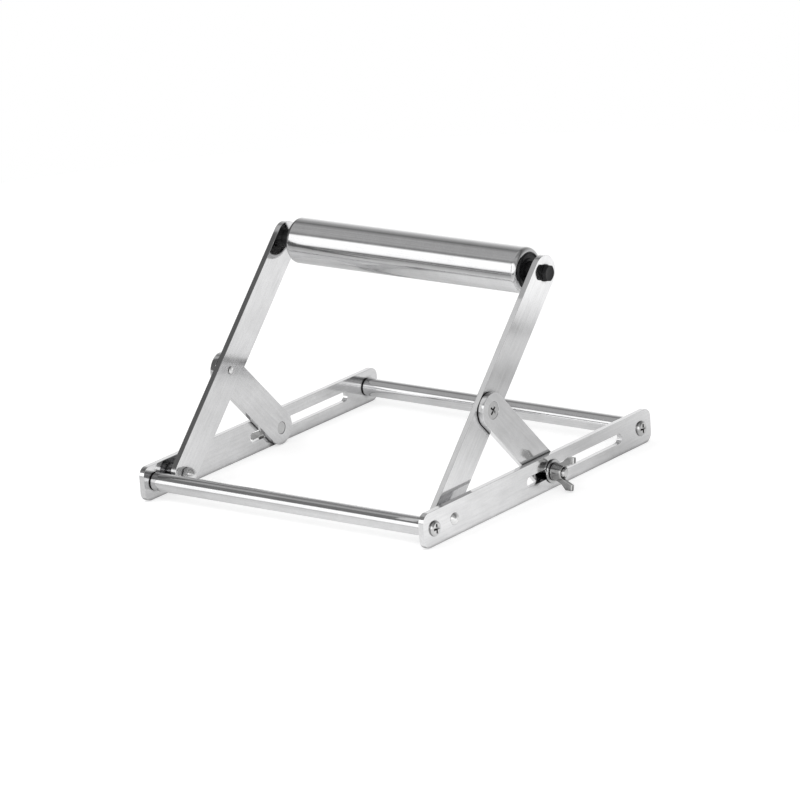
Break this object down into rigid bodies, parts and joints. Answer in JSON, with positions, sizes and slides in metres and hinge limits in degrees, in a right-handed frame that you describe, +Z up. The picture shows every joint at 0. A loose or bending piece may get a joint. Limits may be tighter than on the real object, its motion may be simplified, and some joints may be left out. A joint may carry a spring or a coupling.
{
  "type": "folding roller stand",
  "caption": "Low folding stand that carries long stock on a free-running roller; hinged uprights are set by slotted braces and wing nuts.",
  "frame": {"origin": "centre of the footprint, on the surface that the base bars stand on", "axes": "+X along the roller to the right-hand clamp, +Y from the front rod to the rear rod, +Z up"},
  "size_m": [0.3438, 0.33, 0.2019],
  "materials": {
    "polished_steel": "mirror-polished",
    "bearing_steel": "ground",
    "black_steel": "black oxide",
    "black_plastic": "moulded satin"
  },
  "bodies": {
    "base": {"base_bar_left": "polished_steel", "base_bar_right": "polished_steel", "front_rod": "polished_steel", "rear_rod": "polished_steel", "rod_screws": "polished_steel", "pivot_bolts": "polished_steel", "pivot_spacers": "polished_steel", "pivot_cap_nuts": "polished_steel"},
    "mast": {"upright_left": "polished_steel", "upright_right": "polished_steel", "brace_screws": "polished_steel", "axle": "polished_steel", "axle_bolts": "black_steel", "axle_lock_washers": "black_steel", "axle_sleeves": "black_plastic", "bearing_inner_rings": "bearing_steel"},
    "roller": {"roller_tube": "polished_steel", "end_cap_left": "black_plastic", "end_cap_right": "black_plastic", "bearing_outer_rings": "bearing_steel"},
    "left_ball_set": {"bearing_balls_left": "bearing_steel", "bearing_cage_left": "bearing_steel"},
    "right_ball_set": {"bearing_balls_right": "bearing_steel", "bearing_cage_right": "bearing_steel"},
    "left_brace": {"brace_left": "polished_steel", "clamp_stud_left": "polished_steel"},
    "right_brace": {"brace_right": "polished_steel", "clamp_stud_right": "polished_steel"},
    "left_washer": {"clamp_washer_left": "polished_steel"},
    "right_washer": {"clamp_washer_right": "polished_steel"},
    "left_wing_nut": {"wing_nut_left": "polished_steel"},
    "right_wing_nut": {"wing_nut_right": "polished_steel"}
  },
  "joints": [
    {"name": "mast_hinge", "type": "hinge", "parent": "base", "child": "mast", "pos_m": [0, -0.122, 0.015], "axis": [1, 0, 0], "range_deg": [-44, 11.5]},
    {"name": "roller_spin", "type": "hinge", "parent": "mast", "child": "roller", "pos_m": [0, 0.03916, 0.18189], "axis": [1, 0, 0], "continuous": true},
    {"name": "left_ball_orbit", "type": "hinge", "parent": "mast", "child": "left_ball_set", "pos_m": [0, 0.03916, 0.18189], "axis": [1, 0, 0], "continuous": true},
    {"name": "right_ball_orbit", "type": "hinge", "parent": "mast", "child": "right_ball_set", "pos_m": [0, 0.03916, 0.18189], "axis": [1, 0, 0], "continuous": true},
    {"name": "left_brace_hinge", "type": "hinge", "parent": "mast", "child": "left_brace", "pos_m": [0, -0.05184, 0.08765], "axis": [1, 0, 0], "range_deg": [-23, 88]},
    {"name": "right_brace_hinge", "type": "hinge", "parent": "mast", "child": "right_brace", "pos_m": [0, -0.05184, 0.08765], "axis": [1, 0, 0], "range_deg": [-23, 88]},
    {"name": "left_clamp_slide", "type": "slide", "parent": "left_brace", "child": "left_washer", "axis": [-1, 0, 0], "range_m": [0, 0.00251]},
    {"name": "left_wing_nut_turn", "type": "hinge", "parent": "left_washer", "child": "left_wing_nut", "pos_m": [0, 0.01832, 0.015], "axis": [-1, 0, 0], "range_deg": [0, 720]},
    {"name": "right_clamp_slide", "type": "slide", "parent": "right_brace", "child": "right_washer", "axis": [1, 0, 0], "range_m": [0, 0.00251]},
    {"name": "right_wing_nut_turn", "type": "hinge", "parent": "right_washer", "child": "right_wing_nut", "pos_m": [0, 0.01832, 0.015], "axis": [1, 0, 0], "range_deg": [0, 720]}
  ],
  "couplings": [
    {"joint": "left_ball_orbit", "follows": "roller_spin", "ratio": 0.62},
    {"joint": "right_ball_orbit", "follows": "roller_spin", "ratio": 0.62},
    {"joint": "left_brace_hinge", "follows": "mast_hinge", "ratio": -2},
    {"joint": "right_brace_hinge", "follows": "mast_hinge", "ratio": -2},
    {"joint": "left_clamp_slide", "follows": "left_wing_nut_turn", "m_per_rad": 0.00019894},
    {"joint": "right_clamp_slide", "follows": "right_wing_nut_turn", "m_per_rad": 0.00019894}
  ]
}
